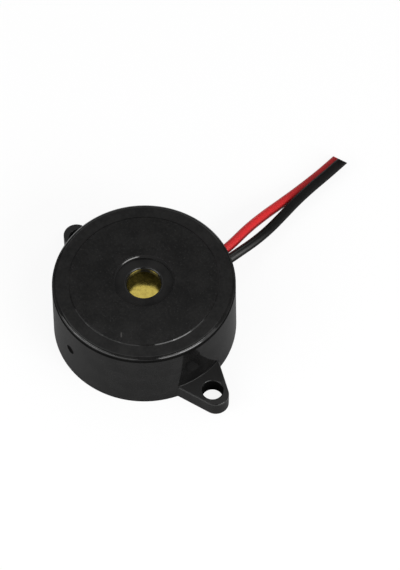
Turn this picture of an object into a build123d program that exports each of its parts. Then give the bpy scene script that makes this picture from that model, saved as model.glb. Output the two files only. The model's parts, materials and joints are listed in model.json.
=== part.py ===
from build123d import *
from math import cos, radians, sin, tan
import os

# A flanged piezo buzzer with its driver board inside and two short leads.
# Millimetres, +Z up. The origin is the centre of the base. The two ears lie along X and
# the leads leave the wall towards +Y.

# Case, outside
base_r = 12.37
top_r = 12.18
rim_z = 10.6
rim_round = 0.55
plateau_r = 9.9
plateau_z = 10.73
step_run = 0.15
step_round = 0.12
recess_r = 3.85
recess_z = 10.1
hole_r = 2.3
hole_round = 0.25
gate_d = 1.4
gate_z = 5.3
gate_depth = 0.15

# Ears
ear_pitch = 30.0
ear_hole_d = 2.8
ear_t = 2.4
ear_tip_r = 1.75
ear_tip_out = 0.73
ear_flare = 21.7
ear_root_x = 11.7
ear_round = 0.15
ear_inner_round = 0.15

# Case, inside
cavity_top_z = 9.15
cavity_r = 9.3
disc_seat_z = 7.8
disc_bore_r = 10.15
shoulder_z = 6.4
inner_r = 10.95
cover_seat_z = 1.2
cover_bore_r = 11.35
rib_count = 4
rib_w = 1.2
rib_in_r = 9.95
rib_top_z = 6.8

# Sounder disc
plate_r = 10.0
plate_t = 0.2
ceramic_r = 7.0
ceramic_t = 0.22
electrode_r = 6.6
electrode_t = 0.04
tongue_w = 2.4
tongue_len = 4.6
electrode_gap = 0.4
glue_leg_in = 0.6
glue_leg_down = 0.6

# Driver board
board_r = 10.75
board_t = 1.0
board_top_z = 2.7
board_flat_y = -10.1
board_hole_r = 0.34
pad_r = 0.58
pad_t = 0.05
solder_h = 0.32
solder_r = 0.55
solder_tip_r = 0.36

# Rear cover
cover_r = 11.15
cover_low_z = 0.15
cover_edge = 0.2
tongue_in_y = 11.0
tongue_out_r = 12.3
tongue_side_gap = 0.06

# Leads
lead_d = 1.35
lead_z = 3.4
lead_pitch = 1.5
notch_r = 0.8
notch_in_y = 9.6
notch_out_y = 13.0
core_d = 0.5
core_run = 1.1
core_bend = 0.45
glue_in_y = 8.9
glue_half_w = 2.4
glue_h = 2.0
glue_round = 0.6

# Parts on the board
body_lift = 0.08
inductor_at = (-5.5, 0.7)
inductor_r = 2.6
inductor_h = 3.6
inductor_waist_r = 1.1
inductor_winding_r = 2.35
inductor_flange = 0.7
inductor_lift = 0.2
inductor_pin_off = 1.9
pin_d = 0.5
transistor_at = (5.3, 1.2)
transistor_w = 4.6
transistor_len = 4.6
transistor_h = 3.6
transistor_leg_up = 1.0
leg_pitch = 1.27
leg_d = 0.42
leg_reach = 1.3
leg_bend = 0.4
axial_pitch = 6.4
axial_wire_d = 0.45
resistor_d = 1.8
resistor_len = 3.3
resistor_waist_d = 1.5
resistor_cap_len = 0.8
resistor_round = 0.3
resistors_at = ((-3.4, -4.6), (-1.9, -7.4))
diode_at = (4.7, -5.4)
diode_d = 1.8
diode_len = 3.7
diode_round = 0.4

# Thin wires from the board to the disc
hookup_d = 0.6
hookup_bend = 1.0
hookup_low_z = 4.5
hookup_high_z = 5.9
hookup_end_gap = 0.1
dot_r = 1.25
dot_cut = 40.0
plate_dot = (2.6, 7.9)
drive_dot = (-1.3, 1.6)
feedback_dot = (0.0, -4.4)
plate_hole = (3.5, 5.9)
drive_hole = (-1.5, -1.9)
feedback_hole = (1.0, -1.9)

# Leads' routes from their soldered ends on the board to the free ends. Both leave the notch
# side by side, part a little, and meet again with the black one on the red one's shoulder.
red_route = [
    Vector(-1.5, 5.0, 3.42),
    Vector(-0.93, 8.7, 3.42),
    Vector(-0.71, 12.3, 3.43),
    Vector(-0.95, 15.4, 3.56),
    Vector(-1.83, 18.9, 3.28),
    Vector(-2.52, 22.4, 2.55),
    Vector(-3.04, 25.7, 1.75),
    Vector(-3.53, 28.9, 1.08),
    Vector(-3.95, 32.2, 0.77),
    Vector(-4.35, 35.3, 0.71),
    Vector(-4.86, 38.3, 0.7),
]
black_route = [
    Vector(1.5, 5.0, 3.42),
    Vector(0.93, 8.7, 3.42),
    Vector(0.67, 12.3, 3.42),
    Vector(0.5, 15.4, 3.27),
    Vector(0.22, 18.5, 2.82),
    Vector(-0.38, 21.5, 2.3),
    Vector(-1.17, 24.5, 1.99),
    Vector(-1.99, 27.6, 1.86),
    Vector(-2.6, 30.7, 1.68),
    Vector(-3.0, 33.6, 1.59),
    Vector(-3.38, 36.1, 1.55),
    Vector(-3.84, 38.8, 1.55),
]
cut_point = (-4.14, 37.2, 1.1)
cut_turn = 112.0
cut_tilt = 31.6

# Levels that follow from the above
board_low_z = board_top_z - board_t
plate_low_z = disc_seat_z - plate_t
ceramic_low_z = plate_low_z - ceramic_t
electrode_low_z = ceramic_low_z - electrode_t
ear_hole_x = ear_pitch / 2
ear_tip_x = ear_hole_x + ear_tip_out
notch_half_w = lead_pitch / 2 + notch_r
pin_end_z = board_low_z - pad_t - solder_h

os.makedirs("parts", exist_ok=True)


def corner_radii(route):
    """Radii of the arcs that join a route's runs, as large as the runs allow."""
    radii = []
    for before, corner, after in zip(route, route[1:], route[2:]):
        run_in = corner - before
        run_out = after - corner
        turn = radians(run_in.get_angle(run_out))
        radii.append(0.45 * min(run_in.length, run_out.length) / tan(turn / 2))
    return radii


def save(part, name):
    """Name a finished piece and write it."""
    part.label = name
    export_step(part, f"parts/{name}.step")


# Case: one moulding with its ears, sound hole, disc seat, board ribs and lead notch
touch_x = ear_tip_x + ear_tip_r * sin(radians(ear_flare))
touch_y = ear_tip_r * cos(radians(ear_flare))
root_y = touch_y + (touch_x - ear_root_x) * tan(radians(ear_flare))

with BuildPart() as case:
    with BuildSketch():
        with BuildLine():
            flank = Line((ear_root_x, -root_y), (touch_x, -touch_y))
            tip = ThreePointArc(flank @ 1, (ear_tip_x + ear_tip_r, 0), (touch_x, touch_y))
            Polyline(tip @ 1, (ear_root_x, root_y), flank @ 0)
        make_face()
        with Locations((ear_hole_x, 0)):
            Circle(ear_hole_d / 2, mode=Mode.SUBTRACT)
    extrude(amount=ear_t)
    ear_top = case.edges().group_by(Axis.Z)[-1]
    fillet(ear_top.filter_by(lambda edge: edge.center().X > ear_root_x + 0.1), ear_round)
    mirror(about=Plane.YZ)

    with BuildSketch(Plane.XZ) as section:
        with BuildLine():
            Polyline(
                (hole_r, recess_z),
                (recess_r, recess_z),
                (recess_r + step_run, plateau_z),
                (plateau_r, plateau_z),
                (plateau_r + step_run, rim_z),
                (top_r, rim_z),
                (base_r, 0),
                (cover_bore_r, 0),
                (cover_bore_r, cover_seat_z),
                (inner_r, cover_seat_z),
                (inner_r, shoulder_z),
                (disc_bore_r, shoulder_z + inner_r - disc_bore_r),
                (disc_bore_r, disc_seat_z),
                (cavity_r, disc_seat_z),
                (cavity_r, cavity_top_z),
                (hole_r, cavity_top_z),
                close=True,
            )
        make_face()
        fillet(section.vertices().sort_by_distance((top_r, rim_z))[0], rim_round)
        fillet(section.vertices().sort_by_distance((hole_r, recess_z))[0], hole_round)
        for step_r in (plateau_r, recess_r + step_run):
            fillet(section.vertices().sort_by_distance((step_r, plateau_z))[0], step_round)
    revolve(axis=Axis.Z)
    joints = case.edges().filter_by_position(Axis.Z, ear_t - 0.01, ear_t + 0.01)
    fillet(joints.filter_by(GeomType.CIRCLE).filter_by(lambda edge: edge.radius > 12), ear_inner_round)

    with BuildSketch(Plane.XY.offset(board_top_z)):
        with PolarLocations((rib_in_r + inner_r + 0.1) / 2, rib_count, start_angle=45):
            Rectangle(inner_r + 0.1 - rib_in_r, rib_w)
    extrude(amount=rib_top_z - board_top_z)

    with BuildSketch(Plane.XZ.offset(-notch_in_y)):
        with Locations((0, lead_z)):
            SlotCenterToCenter(lead_pitch, 2 * notch_r)
        with Locations((0, lead_z / 2)):
            Rectangle(2 * notch_half_w, lead_z)
    extrude(amount=notch_in_y - notch_out_y, mode=Mode.SUBTRACT)

    gate_wall_r = base_r + (top_r - base_r) * gate_z / rim_z
    gate_ball_r = ((gate_d / 2) ** 2 + gate_depth**2) / (2 * gate_depth)
    with Locations((0, gate_depth - gate_wall_r - gate_ball_r, gate_z)):
        Sphere(gate_ball_r, mode=Mode.SUBTRACT)
save(case.part, "case")

# Sounder disc: brass plate, ceramic, the two electrodes and the bead that holds it
with BuildPart() as diaphragm_plate:
    with BuildSketch(Plane.XY.offset(plate_low_z)):
        Circle(plate_r)
    extrude(amount=plate_t)
save(diaphragm_plate.part, "diaphragm_plate")

with BuildPart() as piezo_ceramic:
    with BuildSketch(Plane.XY.offset(ceramic_low_z)):
        Circle(ceramic_r)
    extrude(amount=ceramic_t)
save(piezo_ceramic.part, "piezo_ceramic")

with BuildPart() as drive_electrode:
    with BuildSketch(Plane.XY.offset(electrode_low_z)):
        Circle(electrode_r)
        with Locations((0, -electrode_r)):
            gap_w = tongue_w + 2 * electrode_gap
            SlotOverall(2 * (tongue_len + electrode_gap), gap_w, rotation=90, mode=Mode.SUBTRACT)
    extrude(amount=electrode_t)
save(drive_electrode.part, "drive_electrode")

with BuildPart() as feedback_electrode:
    with BuildSketch(Plane.XY.offset(electrode_low_z)):
        Circle(electrode_r)
        with Locations((0, -electrode_r)):
            SlotOverall(2 * tongue_len, tongue_w, rotation=90, mode=Mode.INTERSECT)
    extrude(amount=electrode_t)
save(feedback_electrode.part, "feedback_electrode")

with BuildPart() as diaphragm_glue:
    with BuildSketch(Plane.XZ):
        with BuildLine():
            Polyline(
                (disc_bore_r - glue_leg_in, plate_low_z),
                (disc_bore_r, plate_low_z),
                (disc_bore_r, plate_low_z - glue_leg_down),
                close=True,
            )
        make_face()
    revolve(axis=Axis.Z)
save(diaphragm_glue.part, "diaphragm_glue")

# Leads: insulation from the board to the slanted cut, and the bare strands soldered inside
cut_heading = Vector(cos(radians(cut_turn)), sin(radians(cut_turn)), tan(radians(cut_tilt)))
cut_plane = Plane(cut_point, z_dir=cut_heading)

with BuildPart() as red_lead:
    with BuildLine() as red_line:
        FilletPolyline(*red_route, radius=corner_radii(red_route))
    with BuildSketch(Plane(red_line.line @ 0, z_dir=red_line.line % 0)):
        Circle(lead_d / 2)
    sweep()
    split(bisect_by=cut_plane, keep=Keep.BOTTOM)
save(red_lead.part, "red_lead")

with BuildPart() as black_lead:
    with BuildLine() as black_line:
        FilletPolyline(*black_route, radius=corner_radii(black_route))
    with BuildSketch(Plane(black_line.line @ 0, z_dir=black_line.line % 0)):
        Circle(lead_d / 2)
    sweep()
    split(bisect_by=cut_plane, keep=Keep.BOTTOM)
save(black_lead.part, "black_lead")

red_hole = red_route[0] - (red_route[1] - red_route[0]).normalized() * core_run
black_hole = black_route[0] - (black_route[1] - black_route[0]).normalized() * core_run

with BuildPart() as red_core:
    with BuildLine() as red_strand:
        red_pin = Vector(red_hole.X, red_hole.Y, pin_end_z)
        FilletPolyline(red_route[0], red_hole, red_pin, radius=core_bend)
    with BuildSketch(Plane(red_strand.line @ 0, z_dir=red_strand.line % 0)):
        Circle(core_d / 2)
    sweep()
save(red_core.part, "red_core")

with BuildPart() as black_core:
    with BuildLine() as black_strand:
        black_pin = Vector(black_hole.X, black_hole.Y, pin_end_z)
        FilletPolyline(black_route[0], black_hole, black_pin, radius=core_bend)
    with BuildSketch(Plane(black_strand.line @ 0, z_dir=black_strand.line % 0)):
        Circle(core_d / 2)
    sweep()
save(black_core.part, "black_core")

# Rear cover with the tongue that closes the notch under the leads
with BuildPart() as rear_cover:
    with BuildSketch(Plane.XY.offset(cover_low_z)):
        Circle(cover_r)
    extrude(amount=cover_seat_z - cover_low_z)
    chamfer(rear_cover.edges().group_by(Axis.Z)[0], cover_edge)
    with BuildSketch(Plane.XY.offset(cover_low_z)):
        Circle(tongue_out_r)
        with Locations((0, (tongue_in_y + tongue_out_r) / 2)):
            tongue_half_w = notch_half_w - tongue_side_gap
            Rectangle(2 * tongue_half_w, tongue_out_r - tongue_in_y, mode=Mode.INTERSECT)
    extrude(amount=lead_z - cover_low_z)
    add(red_lead.part, mode=Mode.SUBTRACT)
    add(black_lead.part, mode=Mode.SUBTRACT)
save(rear_cover.part, "rear_cover")

with BuildPart() as cover_glue:
    with BuildSketch(Plane.XY.offset(cover_low_z)):
        Circle(cover_bore_r)
        Circle(cover_r, mode=Mode.SUBTRACT)
        with Locations((0, cover_bore_r)):
            Rectangle(2 * notch_half_w, 2, mode=Mode.SUBTRACT)
    extrude(amount=cover_seat_z - cover_low_z)
    add(rear_cover.part, mode=Mode.SUBTRACT)
save(cover_glue.part, "cover_glue")

# Parts on the board: inductor, transistor, two resistors and a diode, with their wires
inductor_low_z = board_top_z + inductor_lift
inductor_top_z = inductor_low_z + inductor_h
with BuildPart() as inductor_core:
    with BuildSketch(Plane((*inductor_at, 0), z_dir=(0, -1, 0), x_dir=(1, 0, 0))):
        with BuildLine():
            Polyline(
                (0, inductor_low_z),
                (inductor_r, inductor_low_z),
                (inductor_r, inductor_low_z + inductor_flange),
                (inductor_waist_r, inductor_low_z + inductor_flange),
                (inductor_waist_r, inductor_top_z - inductor_flange),
                (inductor_r, inductor_top_z - inductor_flange),
                (inductor_r, inductor_top_z),
                (0, inductor_top_z),
                close=True,
            )
        make_face()
    revolve(axis=Axis((*inductor_at, 0), (0, 0, 1)))
save(inductor_core.part, "inductor_core")

with BuildPart() as inductor_winding:
    with BuildSketch(Plane.XY.offset(inductor_low_z + inductor_flange)):
        with Locations(inductor_at):
            Circle(inductor_winding_r)
            Circle(inductor_waist_r, mode=Mode.SUBTRACT)
    extrude(amount=inductor_h - 2 * inductor_flange)
save(inductor_winding.part, "inductor_winding")

inductor_holes = [
    (inductor_at[0], inductor_at[1] - inductor_pin_off),
    (inductor_at[0], inductor_at[1] + inductor_pin_off),
]
with BuildPart() as inductor_pins:
    with BuildSketch(Plane.XY.offset(pin_end_z)):
        with Locations(*inductor_holes):
            Circle(pin_d / 2)
    extrude(amount=inductor_low_z - pin_end_z)
save(inductor_pins.part, "inductor_pins")

seat_z = board_top_z + body_lift
leg_side_y = transistor_at[1] - transistor_len / 2
with BuildPart() as transistor_body:
    with BuildSketch(Plane.XZ.offset(-leg_side_y)):
        with Locations((transistor_at[0], seat_z + transistor_h - transistor_w / 2)):
            Circle(transistor_w / 2)
        with Locations((transistor_at[0], seat_z)):
            Rectangle(transistor_w, transistor_w, align=(Align.CENTER, Align.MAX), mode=Mode.SUBTRACT)
    extrude(amount=-transistor_len)
save(transistor_body.part, "transistor_body")

leg_z = seat_z + transistor_leg_up
leg_hole_y = leg_side_y - leg_reach
transistor_holes = [(transistor_at[0] + step * leg_pitch, leg_hole_y) for step in (-1, 0, 1)]
with BuildPart() as transistor_legs:
    for hole in transistor_holes:
        with BuildLine() as leg:
            FilletPolyline(
                (hole[0], leg_side_y, leg_z),
                (*hole, leg_z),
                (*hole, pin_end_z),
                radius=leg_bend,
            )
        with BuildSketch(Plane(leg.line @ 0, z_dir=leg.line % 0)):
            Circle(leg_d / 2)
        sweep()
save(transistor_legs.part, "transistor_legs")


def axial_holes(middle):
    """The two board holes of a part that lies along X."""
    return [(middle[0] - axial_pitch / 2, middle[1]), (middle[0] + axial_pitch / 2, middle[1])]


def axial_wires(middle, body_len, axis_z, name):
    """Both wires of a part that lies along X, bent down from its ends into the board."""
    with BuildPart() as wires:
        for side in (-1, 1):
            with BuildLine() as wire:
                FilletPolyline(
                    (middle[0] + side * body_len / 2, middle[1], axis_z),
                    (middle[0] + side * axial_pitch / 2, middle[1], axis_z),
                    (middle[0] + side * axial_pitch / 2, middle[1], pin_end_z),
                    radius=leg_bend,
                )
            with BuildSketch(Plane(wire.line @ 0, z_dir=wire.line % 0)) as wire_section:
                Circle(axial_wire_d / 2)
            sweep(sections=wire_section.sketch, path=wire.line)
    save(wires.part, name)
    return wires.part


pin_parts = [inductor_pins.part, transistor_legs.part, red_core.part, black_core.part]
for number, middle in enumerate(resistors_at, start=1):
    axis_z = seat_z + resistor_d / 2
    with BuildPart() as resistor:
        with Locations((*middle, axis_z)):
            Cylinder(resistor_waist_d / 2, resistor_len, rotation=(0, 90, 0))
        cap_x = (resistor_len - resistor_cap_len) / 2
        with Locations((middle[0] - cap_x, middle[1], axis_z), (middle[0] + cap_x, middle[1], axis_z)):
            Cylinder(resistor_d / 2, resistor_cap_len, rotation=(0, 90, 0))
        end_edges = resistor.edges().group_by(Axis.X)
        fillet(end_edges[0] + end_edges[-1], resistor_round)
    save(resistor.part, f"resistor_{number}")
    pin_parts.append(axial_wires(middle, resistor_len, axis_z, f"resistor_{number}_wires"))

diode_axis_z = seat_z + diode_d / 2
with BuildPart() as diode:
    with Locations((*diode_at, diode_axis_z)):
        Cylinder(diode_d / 2, diode_len, rotation=(0, 90, 0))
    fillet(diode.edges().group_by(Axis.X)[0] + diode.edges().group_by(Axis.X)[-1], diode_round)
save(diode.part, "diode")
pin_parts.append(axial_wires(diode_at, diode_len, diode_axis_z, "diode_wires"))

# Thin wires from the board up to the disc, each with its dot of solder there
hookups = {
    "plate_wire": (plate_hole, plate_dot, plate_low_z),
    "drive_wire": (drive_hole, drive_dot, electrode_low_z),
    "feedback_wire": (feedback_hole, feedback_dot, electrode_low_z),
}
hookup_parts = []
for name, (hole, dot, dot_z) in hookups.items():
    with BuildPart() as hookup:
        with BuildLine() as wire:
            FilletPolyline(
                (*hole, pin_end_z),
                (*hole, hookup_low_z),
                (*dot, hookup_high_z),
                (*dot, dot_z - hookup_end_gap),
                radius=hookup_bend,
            )
        with BuildSketch(Plane(wire.line @ 0, z_dir=wire.line % 0)):
            Circle(hookup_d / 2)
        sweep()
    save(hookup.part, name)
    hookup_parts.append(hookup.part)
pin_parts += hookup_parts

with BuildPart() as disc_solder:
    for hole, dot, dot_z in hookups.values():
        with Locations((*dot, dot_z)):
            Sphere(dot_r, -90, -dot_cut, align=(Align.CENTER, Align.CENTER, Align.MAX))
    for wire_part in hookup_parts:
        add(wire_part, mode=Mode.SUBTRACT)
save(disc_solder.part, "disc_solder")

# Board with its pads and solder joints underneath
board_holes = [(red_hole.X, red_hole.Y), (black_hole.X, black_hole.Y)]
board_holes += inductor_holes + transistor_holes + axial_holes(diode_at)
for middle in resistors_at:
    board_holes += axial_holes(middle)
for hole, dot, dot_z in hookups.values():
    board_holes.append(hole)

with BuildPart() as circuit_board:
    with BuildSketch(Plane.XY.offset(board_low_z)):
        Circle(board_r)
        with Locations((0, board_flat_y)):
            Rectangle(2 * board_r, board_r, align=(Align.CENTER, Align.MAX), mode=Mode.SUBTRACT)
        with Locations(*board_holes):
            Circle(board_hole_r, mode=Mode.SUBTRACT)
    extrude(amount=board_t)
save(circuit_board.part, "circuit_board")

with BuildPart() as board_pads:
    with BuildSketch(Plane.XY.offset(board_low_z - pad_t)):
        with Locations(*board_holes):
            Circle(pad_r)
            Circle(board_hole_r, mode=Mode.SUBTRACT)
    extrude(amount=pad_t)
save(board_pads.part, "board_pads")

with BuildPart() as board_solder:
    with Locations(*[(*hole, board_low_z - pad_t) for hole in board_holes]):
        Cone(solder_tip_r, solder_r, solder_h, align=(Align.CENTER, Align.CENTER, Align.MAX))
    for pin in pin_parts:
        add(pin, mode=Mode.SUBTRACT)
save(board_solder.part, "board_solder")

# Bead of glue that holds the leads where they come in over the board's edge
with BuildPart() as lead_glue:
    with BuildSketch(Plane.XY.offset(board_top_z)):
        with Locations((0, (glue_in_y + tongue_in_y) / 2)):
            Rectangle(2 * glue_half_w, tongue_in_y - glue_in_y)
    extrude(amount=glue_h)
    fillet(lead_glue.edges().group_by(Axis.Z)[-1], glue_round)
    for neighbour in (case.part, red_lead.part, black_lead.part):
        add(neighbour, mode=Mode.SUBTRACT)
save(lead_glue.part, "lead_glue")

print("radii, red lead", [round(radius, 1) for radius in corner_radii(red_route)])
print("radii, black lead", [round(radius, 1) for radius in corner_radii(black_route)])
lead_section = Circle(lead_d / 2).area
for name, lead, line in (("red", red_lead, red_line), ("black", black_lead, black_line)):
    cut_length = lead.part.volume / lead_section
    print(f"{name} lead: {cut_length:.2f} mm by volume, {line.wires()[0].length:.2f} mm before the cut")
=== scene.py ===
import json
import math

import bmesh
import bpy
import numpy as np
from mathutils import Matrix, Vector


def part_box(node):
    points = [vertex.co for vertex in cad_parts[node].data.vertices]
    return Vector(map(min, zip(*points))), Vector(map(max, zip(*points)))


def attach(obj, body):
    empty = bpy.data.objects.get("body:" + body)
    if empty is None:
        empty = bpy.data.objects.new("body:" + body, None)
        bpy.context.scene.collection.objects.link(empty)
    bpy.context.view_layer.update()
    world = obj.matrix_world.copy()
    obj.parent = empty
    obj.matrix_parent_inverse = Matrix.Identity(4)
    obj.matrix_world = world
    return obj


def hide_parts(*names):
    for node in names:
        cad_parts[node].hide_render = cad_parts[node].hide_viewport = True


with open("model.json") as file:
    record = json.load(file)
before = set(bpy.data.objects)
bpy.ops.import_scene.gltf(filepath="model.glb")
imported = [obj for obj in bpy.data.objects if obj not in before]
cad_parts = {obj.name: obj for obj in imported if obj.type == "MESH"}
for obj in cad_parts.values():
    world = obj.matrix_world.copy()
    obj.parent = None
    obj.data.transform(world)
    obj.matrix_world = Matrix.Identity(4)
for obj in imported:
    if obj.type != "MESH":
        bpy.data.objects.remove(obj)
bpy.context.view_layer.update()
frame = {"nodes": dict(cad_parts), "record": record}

# A small flanged piezo buzzer: black moulded case with two screw ears, a brass disc behind
# the sound hole, and a red and a black lead cut short. Metres, +Z up, ears along X, leads
# towards +Y.
MM = 0.001


def middle_x(node):
    """Middle of a node's box along X."""
    low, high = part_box(node)
    return (low.x + high.x) / 2


# Levels and radii of the case, as in the part's source
rim_z = 10.6 * MM
plateau_z = 10.73 * MM
plateau_r = 9.9 * MM
top_r = 12.18 * MM
recess_r = 3.85 * MM
recess_z = 10.1 * MM
hole_r = 2.3 * MM
gate_z = 5.3 * MM
gate_r = 0.7 * MM
ear_top_z = 2.4 * MM
ear_hole_x = 15 * MM
ear_hole_r = 1.4 * MM

# Polish and wear of the case, and where a highlight is painted on the recess's edge: directions are
# degrees on the plan, counted from +X towards +Y
front_turn = -37.3
flank_turn = 52.7
worn_turn = -7.3
highlight_turn = 171.7
front_reach = 12 * MM
worn_from = 5 * MM
worn_to = 9.5 * MM
scratch_middle = (4.95 * MM, -7.36 * MM, 0)
scratch_half_width = 0.06 * MM
scratch_half_length = 0.3 * MM

# Markings of the parts inside: each resistor band has its place along the body and its colour
resistor_middle_x = middle_x("resistor_1")
lower_resistor_middle_x = middle_x("resistor_2")
resistor_split_y = -6 * MM
resistor_bands = (
    (-1.25 * MM, (0.12, 0.045, 0.015, 1)),
    (-0.55 * MM, (0.01, 0.01, 0.01, 1)),
    (0.0 * MM, (0.55, 0.14, 0.02, 1)),
    (1.25 * MM, (0.45, 0.3, 0.08, 1)),
)
resistor_band_half = 0.13 * MM
diode_band_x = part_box("diode")[1].x - 0.8 * MM
diode_band_half = 0.25 * MM
wire_pitch = 0.15 * MM

# Camera, fitted to the outline of the case in the 400 x 570 frame
image_long_side = 570
image_middle_px = Vector((200, 285))
origin_px = Vector((145.134, 321.847))
focal_px = 2800
sensor_mm = 36
camera_turn = 52.668
camera_rise = 58.335
camera_roll = 0.015
camera_reach = 379.54 * MM
nearest_seen = 10 * MM


def place_camera():
    """Camera whose picture has the base's centre at its place in the photograph.

    The camera looks along a direction that is turned round Z and tipped down. It stands back
    from the origin along that direction, moved sideways by the origin's place in the frame.
    """
    turn, rise, roll = (math.radians(a) for a in (camera_turn, camera_rise, camera_roll))
    forward = Vector((-math.sin(turn) * math.cos(rise), math.cos(turn) * math.cos(rise), -math.sin(rise)))
    level = Vector((math.cos(turn), math.sin(turn), 0))
    upright = level.cross(forward)
    right = level * math.cos(roll) + upright * math.sin(roll)
    up = upright * math.cos(roll) - level * math.sin(roll)
    aside = (origin_px - image_middle_px) * camera_reach / focal_px
    stand = up * aside.y - right * aside.x - forward * camera_reach
    data = bpy.data.cameras.new("camera")
    data.sensor_width = sensor_mm
    data.lens = focal_px * sensor_mm / image_long_side
    data.clip_start = nearest_seen
    camera = bpy.data.objects.new("camera", data)
    camera.matrix_world = Matrix.Translation(stand) @ Matrix((right, up, -forward)).transposed().to_4x4()
    bpy.context.scene.collection.objects.link(camera)
    bpy.context.scene.camera = camera


place_camera()

# Leads: the routes of the source, from the soldered ends to the free ends
lead_d = 1.35 * MM
red_route = np.array([
    (-1.5, 5.0, 3.42),
    (-0.93, 8.7, 3.42),
    (-0.71, 12.3, 3.43),
    (-0.95, 15.4, 3.56),
    (-1.83, 18.9, 3.28),
    (-2.52, 22.4, 2.55),
    (-3.04, 25.7, 1.75),
    (-3.53, 28.9, 1.08),
    (-3.95, 32.2, 0.77),
    (-4.35, 35.3, 0.71),
    (-4.86, 38.3, 0.7),
]) * MM
black_route = np.array([
    (1.5, 5.0, 3.42),
    (0.93, 8.7, 3.42),
    (0.67, 12.3, 3.42),
    (0.5, 15.4, 3.27),
    (0.22, 18.5, 2.82),
    (-0.38, 21.5, 2.3),
    (-1.17, 24.5, 1.99),
    (-1.99, 27.6, 1.86),
    (-2.6, 30.7, 1.68),
    (-3.0, 33.6, 1.59),
    (-3.38, 36.1, 1.55),
    (-3.84, 38.8, 1.55),
]) * MM
exit_y = 12.3 * MM

# The slanted cut that ends both leads, and the strands that show in it
cut_point = np.array((-4.14, 37.2, 1.1)) * MM
cut_turn = math.radians(112.0)
cut_tilt = math.radians(31.6)
cut_normal = np.array((
    math.cos(cut_turn) * math.cos(cut_tilt),
    math.sin(cut_turn) * math.cos(cut_tilt),
    math.sin(cut_tilt),
))
cut_edge_round = 0.04 * MM
bore_depth = 0.35 * MM
bundle_r = 0.27 * MM
strand_r = 0.085 * MM
strand_length = 1.2 * MM
outer_strands = 6
lay_turns_per_m = 90
join_distance = 1e-6


def tube_mesh(name, rings):
    """Mesh of one or more tubes, each a row of closed rings of points.

    Quads join each ring to the next one of its tube.
    """
    index = np.arange(rings[..., 0].size).reshape(rings.shape[:-1])
    index = np.concatenate([index, index[..., :1]], axis=-1)
    corners = (index[..., :-1, :-1], index[..., :-1, 1:], index[..., 1:, 1:], index[..., 1:, :-1])
    quads = np.stack(corners, axis=-1).reshape(-1, 4)
    mesh = bpy.data.meshes.new(name)
    mesh.from_pydata(rings.reshape(-1, 3).tolist(), [], quads.tolist())
    mesh.polygons.foreach_set("use_smooth", np.ones(len(mesh.polygons), bool))
    return mesh


def add_piece(name, mesh, replaced=()):
    """Put a finished mesh into the scene as a piece of the object."""
    piece = bpy.data.objects.new(name, mesh)
    bpy.context.scene.collection.objects.link(piece)
    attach(piece, "root")
    if replaced:
        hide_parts(*replaced)
    return piece


def smooth_line(route):
    """Points along the route's one smooth curve."""
    curve = bpy.data.curves.new("route", "CURVE")
    curve.dimensions = "3D"
    curve.resolution_u = 20
    spline = curve.splines.new("NURBS")
    spline.points.add(len(route) - 1)
    for point, place in zip(spline.points, route):
        point.co = (*place, 1)
    spline.order_u = 3
    spline.use_endpoint_u = True
    holder = bpy.data.objects.new("route", curve)
    mesh = bpy.data.meshes.new_from_object(holder)
    line = np.zeros(len(mesh.vertices) * 3)
    mesh.vertices.foreach_get("co", line)
    bpy.data.objects.remove(holder)
    bpy.data.curves.remove(curve)
    bpy.data.meshes.remove(mesh)
    return line.reshape(-1, 3)


def unit(vectors):
    """Vectors scaled to length one."""
    return vectors / np.linalg.norm(vectors, axis=-1, keepdims=True)


def tube_frame(line):
    """Tangent, sideways and upward directions at each point of a line that is never upright."""
    tangent = unit(np.gradient(line, axis=0))
    side = unit(np.cross(tangent, (0, 0, 1)))
    return tangent, side, np.cross(side, tangent)


def full_circle(sides):
    """Angles of the points of a ring."""
    return np.linspace(0, 2 * np.pi, sides, endpoint=False)


def ring_directions(side, up, angle):
    """Directions cos a * side + sin a * up, for every point of a line and every angle."""
    return np.cos(angle)[None, :, None] * side[:, None] + np.sin(angle)[None, :, None] * up[:, None]


def closed_end(ring):
    """A ring's middle, once for each of its points, which closes the end of a tube."""
    return np.repeat(ring.mean(axis=0)[None], len(ring), axis=0)


def cut_back(line):
    """The line's points that lie far enough behind the slanted cut for a whole ring."""
    behind = (line - cut_point) @ cut_normal
    return line[behind < -lead_d]


def onto_cut(points, tangent):
    """Points slid along the lead's direction until they lie on the slanted cut."""
    return points - np.outer((points - cut_point) @ cut_normal / (tangent @ cut_normal), tangent)


def lead_mesh(name, line, sides=48):
    """Round insulation along a line, with its cut face and the bore that holds the strands.

    Each ring is centre + r (cos a * side + sin a * up). The last ring is slid onto the cut,
    and the bore goes back in from there at the bundle's radius. Both ends are closed. The map
    holds (1 + cos a) / 2 and (1 + sin a) / 2, so its second part grows towards the upper side.
    """
    tangent, side, up = tube_frame(line)
    angle = full_circle(sides)
    around = ring_directions(side, up, angle)
    skin = line[:, None] + around * lead_d / 2
    last = onto_cut(skin[-1], tangent[-1]) - tangent[-1] * cut_edge_round
    face = onto_cut(line[-1] + around[-1] * (lead_d / 2 - cut_edge_round), tangent[-1])
    mouth = onto_cut(line[-1] + around[-1] * bundle_r, tangent[-1])
    floor = mouth - tangent[-1] * bore_depth
    cut = np.stack([last, face, mouth, floor, closed_end(floor)])
    mesh = tube_mesh(name, np.concatenate([closed_end(skin[0])[None], skin, cut]))
    column = np.zeros(len(mesh.loops), int)
    mesh.loops.foreach_get("vertex_index", column)
    turn = angle[column % sides]
    map_points = np.stack([0.5 + 0.5 * np.cos(turn), 0.5 + 0.5 * np.sin(turn)], axis=-1)
    mesh.uv_layers.new(name="round").data.foreach_set("uv", map_points.ravel())
    return mesh


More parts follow.
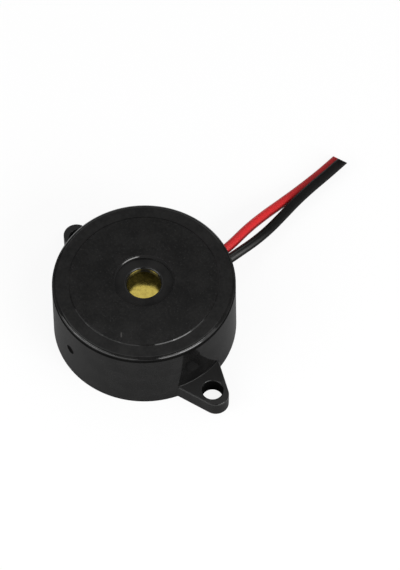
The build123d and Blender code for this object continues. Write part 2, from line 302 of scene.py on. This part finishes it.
def strand_mesh(name, line, sides=12):
    """Seven strands that lie twisted in the insulation and end on the slanted cut.

    Six go on a helix round the one in the middle: centre + 2 r (cos b * side + sin b * up),
    where b grows along the lead.
    """
    tangent, side, up = tube_frame(line)
    travelled = np.concatenate([[0], np.cumsum(np.linalg.norm(np.diff(line, axis=0), axis=1))])
    keep = travelled > travelled[-1] - strand_length
    line, tangent, side, up, travelled = (a[keep] for a in (line, tangent, side, up, travelled))
    around = ring_directions(side, up, full_circle(sides))
    strands = []
    for number in range(outer_strands + 1):
        turn = (travelled * lay_turns_per_m + number / outer_strands) * 2 * np.pi
        off = 2 * strand_r if number < outer_strands else 0
        middle = line + off * (np.cos(turn)[:, None] * side + np.sin(turn)[:, None] * up)
        skin = middle[:, None] + around * strand_r
        last = onto_cut(skin[-1], tangent[-1])
        cut = np.stack([last, closed_end(last)])
        strands.append(np.concatenate([closed_end(skin[0])[None], skin, cut]))
    return tube_mesh(name, np.stack(strands))


def tidy(mesh):
    """Join the points that meet at seams and poles, and turn every face outwards."""
    shape = bmesh.new()
    shape.from_mesh(mesh)
    bmesh.ops.remove_doubles(shape, verts=shape.verts, dist=join_distance)
    bmesh.ops.recalc_face_normals(shape, faces=shape.faces)
    shape.to_mesh(mesh)
    shape.free()
    return mesh


def make_lead(name, node, route):
    """One lead with its strands."""
    line = cut_back(smooth_line(route))
    strands = add_piece(f"{name}_strands", tidy(strand_mesh(f"{name}_strands", line)))
    lead = add_piece(name, tidy(lead_mesh(name, line)), [node])
    tangent = tube_frame(line)[0]
    end = onto_cut(line[-1:], tangent[-1])
    path = np.vstack([line, end])
    mouth = path[np.abs(path[:, 1] - exit_y).argmin()]
    return lead, strands


red_lead, red_strands = make_lead("red_insulation", "red_lead", red_route)
black_lead, black_strands = make_lead("black_insulation", "black_lead", black_route)


class Value:
    """A shader socket. Arithmetic on it adds Math nodes to its finish."""

    def __init__(self, finish, socket):
        self.finish = finish
        self.socket = socket

    def math(self, operation, *terms):
        """The result of a Math node, given all its terms in order."""
        return self.finish.node("ShaderNodeMath", {"operation": operation}, dict(enumerate(terms)))

    def __add__(self, other):
        return self.math("ADD", self, other)

    def __sub__(self, other):
        return self.math("SUBTRACT", self, other)

    def __rsub__(self, other):
        return self.math("SUBTRACT", other, self)

    def __mul__(self, other):
        return self.math("MULTIPLY", self, other)

    def __truediv__(self, other):
        return self.math("DIVIDE", self, other)

    def __abs__(self):
        return self.math("ABSOLUTE", self)

    __radd__ = __add__
    __rmul__ = __mul__

    def root(self):
        """Square root."""
        return self.math("SQRT", self)

    def larger(self, other):
        """The larger of two values."""
        return self.math("MAXIMUM", self, other)

    def rise(self, low, high):
        """0 below low, 1 above high, and a smooth rise between."""
        return self.finish.node(
            "ShaderNodeMapRange",
            {"interpolation_type": "SMOOTHSTEP"},
            {"Value": self, "From Min": low, "From Max": high},
        )

    def fall(self, low, high):
        """1 below low, 0 above high, and a smooth fall between."""
        return 1 - self.rise(low, high)

    def between(self, low, high, soft):
        """1 from low to high, with a soft edge outside both."""
        return self.rise(low - soft, low) * self.fall(high, high + soft)

    def along(self, axis):
        """The part of a vector that lies along one axis."""
        return self.finish.node("ShaderNodeSeparateXYZ", {}, {"Vector": self}, "XYZ".index(axis))


class Finish:
    """A material under construction, or the sky, where its node tree is given."""

    def __init__(self, name, tree=None):
        if tree is None:
            self.material = bpy.data.materials.new(name)
            self.material.use_nodes = True
            tree = self.material.node_tree
        self.tree = tree
        self.tree.nodes.clear()

    def node(self, kind, settings=None, inputs=None, output=0):
        """Any node: its settings first, then the values or links of its sockets."""
        made = self.tree.nodes.new(kind)
        for key, value in (settings or {}).items():
            setattr(made, key, value)
        for key, value in (inputs or {}).items():
            if isinstance(value, Value):
                self.tree.links.new(value.socket, made.inputs[key])
            else:
                made.inputs[key].default_value = value
        return Value(self, made.outputs[output]) if made.outputs else None

    def place(self):
        """The point on the piece, in metres."""
        return self.node("ShaderNodeTexCoord", output="Object")

    def upward(self):
        """How far a point of a lead lies towards its upper side, from 0 to 1."""
        return self.node("ShaderNodeTexCoord", output="UV").along("Y")

    def noise(self, per_m, detail=2.0, roughness=0.5):
        """Clouded noise with so many cells to the metre."""
        inputs = {"Vector": self.place(), "Scale": per_m, "Detail": detail, "Roughness": roughness}
        return self.node("ShaderNodeTexNoise", {}, inputs)

    def turned(self, degrees, centre):
        """The point measured from a centre, along axes that are turned round Z."""
        settings = {"vector_type": "TEXTURE"}
        inputs = {"Vector": self.place(), "Location": centre, "Rotation": (0, 0, math.radians(degrees))}
        return self.node("ShaderNodeMapping", settings, inputs)

    def mixed(self, factor, one, two):
        """A colour between two."""
        return self.node("ShaderNodeMix", {"data_type": "RGBA"}, {0: factor, 6: one, 7: two}, 2)

    def bump(self, height, strength, depth):
        """Normals bent by a height from 0 to 1 that stands for a depth in metres."""
        return self.node("ShaderNodeBump", {}, {"Height": height, "Strength": strength, "Distance": depth})

    def finished(self, **sockets):
        """Close the material with one Principled shader; names use _ for a space."""
        inputs = {key.replace("_", " "): value for key, value in sockets.items()}
        shader = self.node("ShaderNodeBsdfPrincipled", {}, inputs)
        self.node("ShaderNodeOutputMaterial", {}, {"Surface": shader})
        return self.material


def grey(value, warm=0.0):
    """A near-grey colour, a little warmer where warm is above 0."""
    return (value * (1 + warm), value, value * (1 - warm), 1)


def uneven(level, clouds, spread):
    """A level that clouds move up and down by half a spread."""
    return level + (clouds - 0.5) * spread


def reach(x, y, degrees):
    """How far a point lies in a direction on the plan."""
    turn = math.radians(degrees)
    return x * math.cos(turn) + y * math.sin(turn)


class CaseRegions:
    """Where the case's regions lie: each value is 1 in its region and 0 outside, with soft edges.

    Most regions are a stretch of heights times a stretch of distances from the case's axis.
    The others go by a direction or by a place on the plan.
    """

    def __init__(self, finish):
        x, y, z = (finish.place().along(axis) for axis in "XYZ")
        radius = (x * x + y * y).root()
        self.mark_top(finish, z, radius)
        self.mark_recess(x, y, z, radius)
        self.mark_wall(x, y, z, radius)
        self.mark_ears(x, y, z, radius)
        self.front = reach(x, y, front_turn).rise(0, front_reach)
        self.worn = reach(x, y, worn_turn).rise(worn_from, worn_to)

    def mark_top(self, finish, z, radius):
        """Top face, its raised middle, the ring round that, and the scratch and specks on it."""
        self.top = z.rise(rim_z - 0.06 * MM, rim_z - 0.02 * MM)
        self.raised = self.top * radius.fall(plateau_r - 0.12 * MM, plateau_r - 0.02 * MM)
        outside_raised = radius.rise(plateau_r - 0.1 * MM, plateau_r)
        self.ring = self.top * outside_raised * radius.fall(plateau_r + 0.15 * MM, plateau_r + 0.2 * MM)
        # The scratch runs towards the front, so its width lies along the flank's direction
        turned = finish.turned(flank_turn, scratch_middle)
        width = turned.along("X").between(-scratch_half_width, scratch_half_width, 0.06 * MM)
        length = turned.along("Y").between(-scratch_half_length, scratch_half_length, 0.1 * MM)
        self.scratch = width * length * self.raised
        self.specks = finish.noise(5200, detail=1).rise(0.64, 0.76) * self.raised

    def mark_recess(self, x, y, z, radius):
        """Wall of the recess, a painted highlight on a stretch of it, and the rounded sound hole."""
        in_recess = radius.fall(recess_r + 0.22 * MM, recess_r + 0.3 * MM)
        # A bright grey is painted on one stretch of the recess's upper edge as a highlight
        highlight_side = (reach(x, y, highlight_turn) / radius).rise(0.93, 0.98) * in_recess
        self.recess_wall = z.between(recess_z + 0.08 * MM, plateau_z - 0.06 * MM, 0.04 * MM) * in_recess
        self.painted_highlight = z.between(plateau_z - 0.38 * MM, plateau_z - 0.26 * MM, 0.06 * MM) * highlight_side
        in_hole = radius.fall(hole_r + 0.2 * MM, hole_r + 0.3 * MM)
        self.hole = in_hole * z.rise(recess_z - 0.55 * MM, recess_z - 0.4 * MM)

    def mark_wall(self, x, y, z, radius):
        """Rounded rim, what lies off its flanks, the band below it, all outside, and the gate's scar."""
        near_rim = radius.rise(top_r - 0.62 * MM, top_r - 0.5 * MM)
        self.rim = z.rise(rim_z - 0.32 * MM, rim_z - 0.22 * MM) * near_rim
        aside = reach(x, y, flank_turn) / radius
        self.off_flanks = aside.fall(0.78, 0.9) * (0 - aside).fall(0.88, 0.94)
        outermost = radius.rise(top_r - 0.3 * MM, top_r - 0.2 * MM)
        self.under_rim = z.between(rim_z - 0.7 * MM, rim_z - 0.32 * MM, 0.12 * MM) * outermost
        self.outside = radius.rise(top_r - 0.1 * MM, top_r)
        off_gate = (x * x + (z - gate_z) * (z - gate_z)).root()
        gate_side = y.fall(-top_r * 0.9, -top_r * 0.8)
        self.scar = off_gate.fall(gate_r - 0.08 * MM, gate_r + 0.08 * MM) * gate_side

    def mark_ears(self, x, y, z, radius):
        """Rounded edge and upper face of the ears, the fillet to the wall, and the holes' walls."""
        below_edge = z.between(ear_top_z - 0.2 * MM, ear_top_z - 0.02 * MM, 0.03 * MM)
        self.ear_edge = below_edge * radius.rise(top_r + 0.3 * MM, top_r + 0.4 * MM)
        above_face = z.between(ear_top_z, ear_top_z + 0.17 * MM, 0.03 * MM)
        self.ear_joint = above_face * radius.between(top_r + 0.17 * MM, top_r + 0.3 * MM, 0.01 * MM)
        at_face = z.between(ear_top_z - 0.03 * MM, ear_top_z + 0.03 * MM, 0.02 * MM)
        self.ear_face = at_face * radius.rise(top_r + 0.2 * MM, top_r + 0.25 * MM)
        hole_x = abs(x) - ear_hole_x
        in_hole = (hole_x * hole_x + y * y).root().fall(ear_hole_r + 0.02 * MM, ear_hole_r + 0.06 * MM)
        self.ear_hole = in_hole * z.fall(ear_top_z - 0.25 * MM, ear_top_z - 0.12 * MM)


def case_polish(at):
    """Share of clear coat over the case, which stands for the mould's polish.

    It starts from the wall's share. Regions add to it or take from it, then others dull it,
    and the rounded sound hole has it in full.
    """
    polish = 0.21
    added = (
        (at.top, -0.005),
        (at.top * at.front, 0.17),
        (at.raised, -0.06),
        (at.ring, -0.06),
        (at.ring * at.worn, 0.36),
        (at.rim * at.off_flanks, 0.8),
        (at.ear_edge, 0.5),
        (at.ear_joint, 0.1),
    )
    dulled = (
        (at.recess_wall, 0.7),
        (at.scar, 1.0),
        (at.under_rim, 0.9),
        (at.ear_hole, 0.9),
    )
    for region, share in added:
        polish = polish + region * share
    for region, share in dulled:
        polish = polish * (1 - region * share)
    return polish.larger(at.hole)


def case_color(finish, at, tone):
    """Near black that varies with a tone, and each region's grey painted over it in turn: some are the
    case's own marks, others are painted highlight, painted light and painted shade.
    """
    # Near black painted as shade: under the rim, over the outer wall and in the ear holes
    painted_shade_black = grey(0.003, 0.01)
    painted = (
        # Painted light: a lighter grey on the recess wall and the ears' upper faces lifts the shade they
        # lie in
        (at.recess_wall.larger(at.ear_face * 0.8), grey(0.019, 0.01)),
        # Painted highlight: a bright grey on one stretch of the recess's edge
        (at.painted_highlight, grey(0.3, 0.01)),
        # Painted shade: a dark band under the rim stands for the dark reflection below the rim's
        # highlight, and the whole outer wall is darkened
        ((at.under_rim * 0.8).larger(at.outside * (1 - at.ear_face) * 0.45), painted_shade_black),
        (at.specks, grey(0.022, 0.02)),
        (at.scratch, grey(0.045, 0.02)),
        # Painted shade: the walls of the ear holes made near black
        (at.ear_hole, painted_shade_black),
    )
    color = finish.mixed(tone.rise(0.35, 0.65), grey(0.0068, 0.01), grey(0.0124, 0.02))
    for region, paint in painted:
        color = finish.mixed(region, color, paint)
    return color


def case_plastic():
    """Black moulding: fine grain on the raised top, smooth band, polished wall and edges."""
    finish = Finish("case_plastic")
    at = CaseRegions(finish)
    grain = finish.noise(5200, detail=3, roughness=0.6)
    pores = finish.noise(14000)
    clouds = finish.noise(420, detail=3, roughness=0.55)
    mottle = finish.noise(2600, detail=3, roughness=0.65)
    tone = clouds + (mottle - clouds) * (0.1 + at.top * 0.4)
    height = (grain * 0.7 + pores * 0.3) * (0.05 + at.raised * 0.95) * (1 - at.ring.larger(at.rim))
    return finish.finished(
        Base_Color=case_color(finish, at, tone),
        Roughness=uneven(0.16 + at.top * 0.34 + at.scar * 0.5, clouds, 0.08),
        Specular_IOR_Level=0.0,
        Coat_Weight=case_polish(at),
        Coat_Roughness=0.08,
        Normal=finish.bump(height, strength=0.22, depth=0.01 * MM),
    )


def simple_finish(name, color, roughness, metallic):
    """A finish with its own slow change of tone and a fine uneven gloss."""
    finish = Finish(name)
    per_m = 900
    spread = 0.12
    clouds = finish.noise(per_m, detail=4, roughness=0.6)
    darker = (*(c * (1 - spread) for c in color), 1)
    lighter = (*(c * (1 + spread) for c in color), 1)
    return finish.finished(
        Base_Color=finish.mixed(clouds.rise(0.3, 0.7), darker, lighter),
        Roughness=uneven(roughness, clouds, 0.15),
        Metallic=metallic,
        Normal=finish.bump(finish.noise(per_m * 6), strength=0.15, depth=0.01 * MM),
    )


def disc_brass():
    """Rolled brass with a dull, slightly stained skin."""
    finish = Finish("disc_brass")
    stains = finish.noise(2200, detail=4, roughness=0.65).rise(0.4, 0.68)
    clouds = finish.noise(900, detail=4, roughness=0.6)
    lengthwise_red = finish.mixed(clouds.rise(0.3, 0.7), (0.77, 0.61, 0.135, 1), (0.86, 0.69, 0.16, 1))
    return finish.finished(
        Base_Color=finish.mixed(stains * 0.4, lengthwise_red, (0.55, 0.42, 0.09, 1)),
        Roughness=0.13 + stains * 0.08,
        Metallic=0.95 - stains * 0.06,
        Normal=finish.bump(finish.noise(5400), strength=0.15, depth=0.01 * MM),
    )


def red_insulation():
    """Smooth red insulation, rougher towards the cut end; its colour is darkened towards the cut end and
    on the lower flanks as painted shade.
    """
    finish = Finish("red_insulation")
    # Rougher towards the cut end, and painted darker there as shade
    towards_cut_end = finish.place().along("Y").rise(20 * MM, 33 * MM)
    # Painted shade: the lower flanks are darkened
    flank = finish.upward().fall(0.62, 0.93)
    clouds = finish.noise(1500, detail=3, roughness=0.6)
    near_red = finish.mixed(clouds, (0.56, 0.019, 0.021, 1), (0.65, 0.025, 0.027, 1))
    # The darker red painted towards the cut end stands for shade
    shaded_red = finish.mixed(clouds, (0.3, 0.011, 0.013, 1), (0.4, 0.016, 0.018, 1))
    lengthwise_red = finish.mixed(towards_cut_end, near_red, shaded_red)
    return finish.finished(
        Base_Color=finish.mixed(flank * 0.8, lengthwise_red, (0.1, 0.003, 0.004, 1)),
        Roughness=uneven(0.34 + towards_cut_end * 0.14, clouds, 0.1),
        Specular_IOR_Level=0.25,
        Normal=finish.bump(finish.noise(5000), strength=0.1, depth=0.01 * MM),
    )


def black_insulation():
    """Smooth black insulation, still glossy near the case and duller towards the cut end, with a painted
    highlight along its upper side near the case.
    """
    finish = Finish("black_insulation")
    towards_cut_end = finish.place().along("Y").rise(15.5 * MM, 22 * MM)
    flank = finish.upward().fall(0.64, 0.86)
    # Painted highlight: a lighter grey streak along the upper side near the case
    painted_highlight_streak = (1 - towards_cut_end) * finish.upward().between(0.8, 0.9, 0.07)
    clouds = finish.noise(1500, detail=3, roughness=0.6)
    dark = finish.mixed(clouds, grey(0.0055, 0.02), grey(0.009, 0.02))
    return finish.finished(
        Base_Color=finish.mixed(painted_highlight_streak * 0.8, dark, grey(0.055, 0.02)),
        Roughness=uneven(0.45, clouds, 0.1),
        Specular_IOR_Level=0.05,
        Coat_Weight=(1 - towards_cut_end * 0.95) * (1 - flank * 0.97),
        Coat_Roughness=0.2,
        Normal=finish.bump(finish.noise(5000), strength=0.1, depth=0.01 * MM),
    )


def winding_wire():
    """Enamelled copper wire in level turns, each a rounded ridge round the core, with painted shade
    darkening the grooves between turns.
    """
    finish = Finish("winding_wire")
    turns = finish.place().along("Z") / wire_pitch
    ridge = turns.math("PINGPONG", turns, 0.5) * 2
    clouds = finish.noise(1200, detail=3, roughness=0.6)
    return finish.finished(
        # Painted shade: dark copper in the grooves between turns
        Base_Color=finish.mixed(ridge.rise(0.1, 0.7), (0.12, 0.03, 0.01, 1), (0.5, 0.15, 0.045, 1)),
        Roughness=uneven(0.22, clouds, 0.15),
        Metallic=0.6,
        Normal=finish.bump(ridge, strength=0.6, depth=0.03 * MM),
    )


def resistor_coat():
    """Dipped lacquer with four painted bands, the last one set apart from the others."""
    finish = Finish("resistor_coat")
    x, y = (finish.place().along(axis) for axis in "XY")
    # Two resistors share this finish, so each point counts from the nearer one's middle
    lower = 1 - y.math("GREATER_THAN", y, resistor_split_y)
    off_middle = x - resistor_middle_x + lower * (resistor_middle_x - lower_resistor_middle_x)
    clouds = finish.noise(1500, detail=3, roughness=0.6)
    color = finish.mixed(clouds, (0.5, 0.36, 0.18, 1), (0.62, 0.47, 0.26, 1))
    for middle, paint in resistor_bands:
        band = off_middle.between(middle - resistor_band_half, middle + resistor_band_half, 0.03 * MM)
        color = finish.mixed(band, color, paint)
    return finish.finished(
        Base_Color=color,
        Roughness=uneven(0.3, clouds, 0.15),
        Normal=finish.bump(clouds, strength=0.1, depth=0.02 * MM),
    )


def diode_glass():
    """Tinted glass bead with a black band at the end that the current leaves by."""
    finish = Finish("diode_glass")
    x = finish.place().along("X")
    band = x.between(diode_band_x - diode_band_half, diode_band_x + diode_band_half, 0.04 * MM)
    clouds = finish.noise(1500, detail=3, roughness=0.6)
    tint = finish.mixed(clouds, (0.42, 0.12, 0.035, 1), (0.56, 0.19, 0.06, 1))
    return finish.finished(
        Base_Color=finish.mixed(band, tint, (0.01, 0.01, 0.011, 1)),
        Roughness=0.08 + band * 0.25 + clouds * 0.04,
        Coat_Weight=1 - band * 0.6,
    )


# Slots that need no function of their own: colour, roughness and how metallic they are
simple_slots = {
    "cover_plastic": ((0.014, 0.014, 0.015), 0.42, 0.0),
    "potting": ((0.009, 0.009, 0.01), 0.16, 0.0),
    "soft_glue": ((0.62, 0.57, 0.42), 0.3, 0.0),
    "piezo_ceramic": ((0.55, 0.53, 0.45), 0.6, 0.0),
    "silver_coat": ((0.8, 0.79, 0.75), 0.42, 1.0),
    "solder": ((0.68, 0.68, 0.7), 0.25, 1.0),
    "board": ((0.5, 0.31, 0.13), 0.45, 0.0),
    "pad_copper": ((0.8, 0.42, 0.25), 0.3, 1.0),
    "transistor_plastic": ((0.02, 0.02, 0.021), 0.55, 0.0),
    "tinned_wire": ((0.72, 0.72, 0.72), 0.28, 1.0),
    "ferrite": ((0.04, 0.04, 0.042), 0.6, 0.0),
    "white_wire": ((0.75, 0.75, 0.72), 0.4, 0.0),
}
finishes = {slot: simple_finish(slot, *look) for slot, look in simple_slots.items()}
finishes["case_plastic"] = case_plastic()
finishes["disc_brass"] = disc_brass()
finishes["winding_wire"] = winding_wire()
finishes["resistor_coat"] = resistor_coat()
finishes["diode_glass"] = diode_glass()
finishes["red_insulation"] = red_insulation()
finishes["black_insulation"] = black_insulation()


def dress(piece, slot):
    """Give a piece the finish of a slot."""
    piece.data.materials.clear()
    piece.data.materials.append(finishes[slot])


for entry in frame["record"]["subparts"]:
    dress(frame["nodes"][entry["node"]], entry["material_slot"])
dress(red_lead, "red_insulation")
dress(black_lead, "black_insulation")
dress(red_strands, "tinned_wire")
dress(black_strands, "tinned_wire")

# Floor and sky: shares of full white, and heights as the sine of the angle above the horizon
floor_half = 3.0
floor_white = 0.9
floor_glow = 0.88
floor_in_gloss = 0.15
horizon_low = 0.12
horizon_high = 0.25
overhead_dimming = 0.94
sky_on_matt = 0.37

# Soft boxes in rows: a row's degrees above the horizon, the height of its boxes, and each box's
# turn from the camera's heading with its radiance, where 1 is white
lamp_reach = 0.42
lamp_width = 0.155
lamp_rows = {
    "key": (29, 0.19, ((27, 4.5), (49, 7.5), (68, 1.2))),
    "fill": (29, 0.19, ((-19, 1.2), (-42, 2.0), (-64, 2.6), (-83, 2.2))),
    "upper": (58, 0.08, ((40, 2.4), (62, 3.2), (84, 1.6), (-62, 1.8), (-84, 1.8))),
}
back_rise = 57
back_width = 0.36
back_height = 0.24
back_radiance = 0.58


def seen_directly(finish, mirrored=1.0):
    """1 for what the camera sees, straight or through glass, and a share for what a gloss mirrors."""
    camera, glossy, through = (
        finish.node("ShaderNodeLightPath", output=name)
        for name in ("Is Camera Ray", "Is Glossy Ray", "Is Transmission Ray")
    )
    return camera.larger(through).larger(glossy * mirrored)


def lay_floor():
    """Plain pale floor that stays white to the eye, keeps a soft shadow and is gone from below."""
    finish = Finish("floor")
    matt = finish.node("ShaderNodeBsdfDiffuse", {}, {"Color": grey(floor_white)})
    glow = finish.node("ShaderNodeEmission", {}, {"Color": grey(1), "Strength": 1.0})
    glowing = seen_directly(finish, floor_in_gloss) * floor_glow
    lit = finish.node("ShaderNodeMixShader", {}, {0: glowing, 1: matt, 2: glow})
    gone = finish.node("ShaderNodeBsdfTransparent")
    below = finish.node("ShaderNodeNewGeometry", output="Backfacing")
    whole = finish.node("ShaderNodeMixShader", {}, {0: below, 1: lit, 2: gone})
    finish.node("ShaderNodeOutputMaterial", {}, {"Surface": whole})
    corners = [(floor_half * x, floor_half * y, 0) for x, y in ((-1, -1), (1, -1), (1, 1), (-1, 1))]
    mesh = bpy.data.meshes.new("floor")
    mesh.from_pydata(corners, [], [(0, 1, 2, 3)])
    mesh.materials.append(finish.material)
    floor = bpy.data.objects.new("floor", mesh)
    bpy.context.scene.collection.objects.link(floor)


def light_world():
    """Even white light for the colours, white to the eye, and dark overhead in reflections.

    A reflection sees white near the horizon, as it does the floor. Between the two heights it
    fades, and above them only the lamps stand out from a dim room.
    """
    world = bpy.data.worlds.new("studio")
    world.use_nodes = True
    bpy.context.scene.world = world
    sky = Finish("studio", world.node_tree)
    height = sky.node("ShaderNodeTexCoord", output="Generated").along("Z")
    camera = sky.node("ShaderNodeLightPath", output="Is Camera Ray")
    seen = seen_directly(sky)
    room = 1 - height.rise(horizon_low, horizon_high) * overhead_dimming
    strength = camera + (1 - camera) * (seen * room + (1 - seen) * sky_on_matt)
    shader = sky.node("ShaderNodeBackground", {}, {"Color": grey(1), "Strength": strength})
    sky.node("ShaderNodeOutputWorld", {}, {"Surface": shader})


def hang_lamp(name, turn, rise, width, height, radiance):
    """A soft box that faces the object from a direction, seen from the camera's side.

    turn is measured from the camera's own heading, to the right; 180 is behind the object.
    """
    data = bpy.data.lights.new(name, "AREA")
    data.shape = "RECTANGLE"
    data.size = width
    data.size_y = height
    data.energy = radiance * math.pi * width * height
    heading = math.radians(camera_turn + turn)
    tip = math.radians(rise)
    away = Vector((math.sin(heading) * math.cos(tip), -math.cos(heading) * math.cos(tip), math.sin(tip)))
    lamp = bpy.data.objects.new(name, data)
    place = Matrix.Translation(Vector((0, 0, plateau_z)) + away * lamp_reach)
    lamp.matrix_world = place @ away.to_track_quat("Z", "Y").to_matrix().to_4x4()
    bpy.context.scene.collection.objects.link(lamp)


lay_floor()
light_world()
for row, (rise, height, boxes) in lamp_rows.items():
    for number, (turn, radiance) in enumerate(boxes, start=1):
        hang_lamp(f"{row}_{number}", turn, rise, lamp_width, height, radiance)
hang_lamp("back", 180, back_rise, back_width, back_height, back_radiance)

scene = bpy.context.scene
scene.view_settings.view_transform = "Standard"
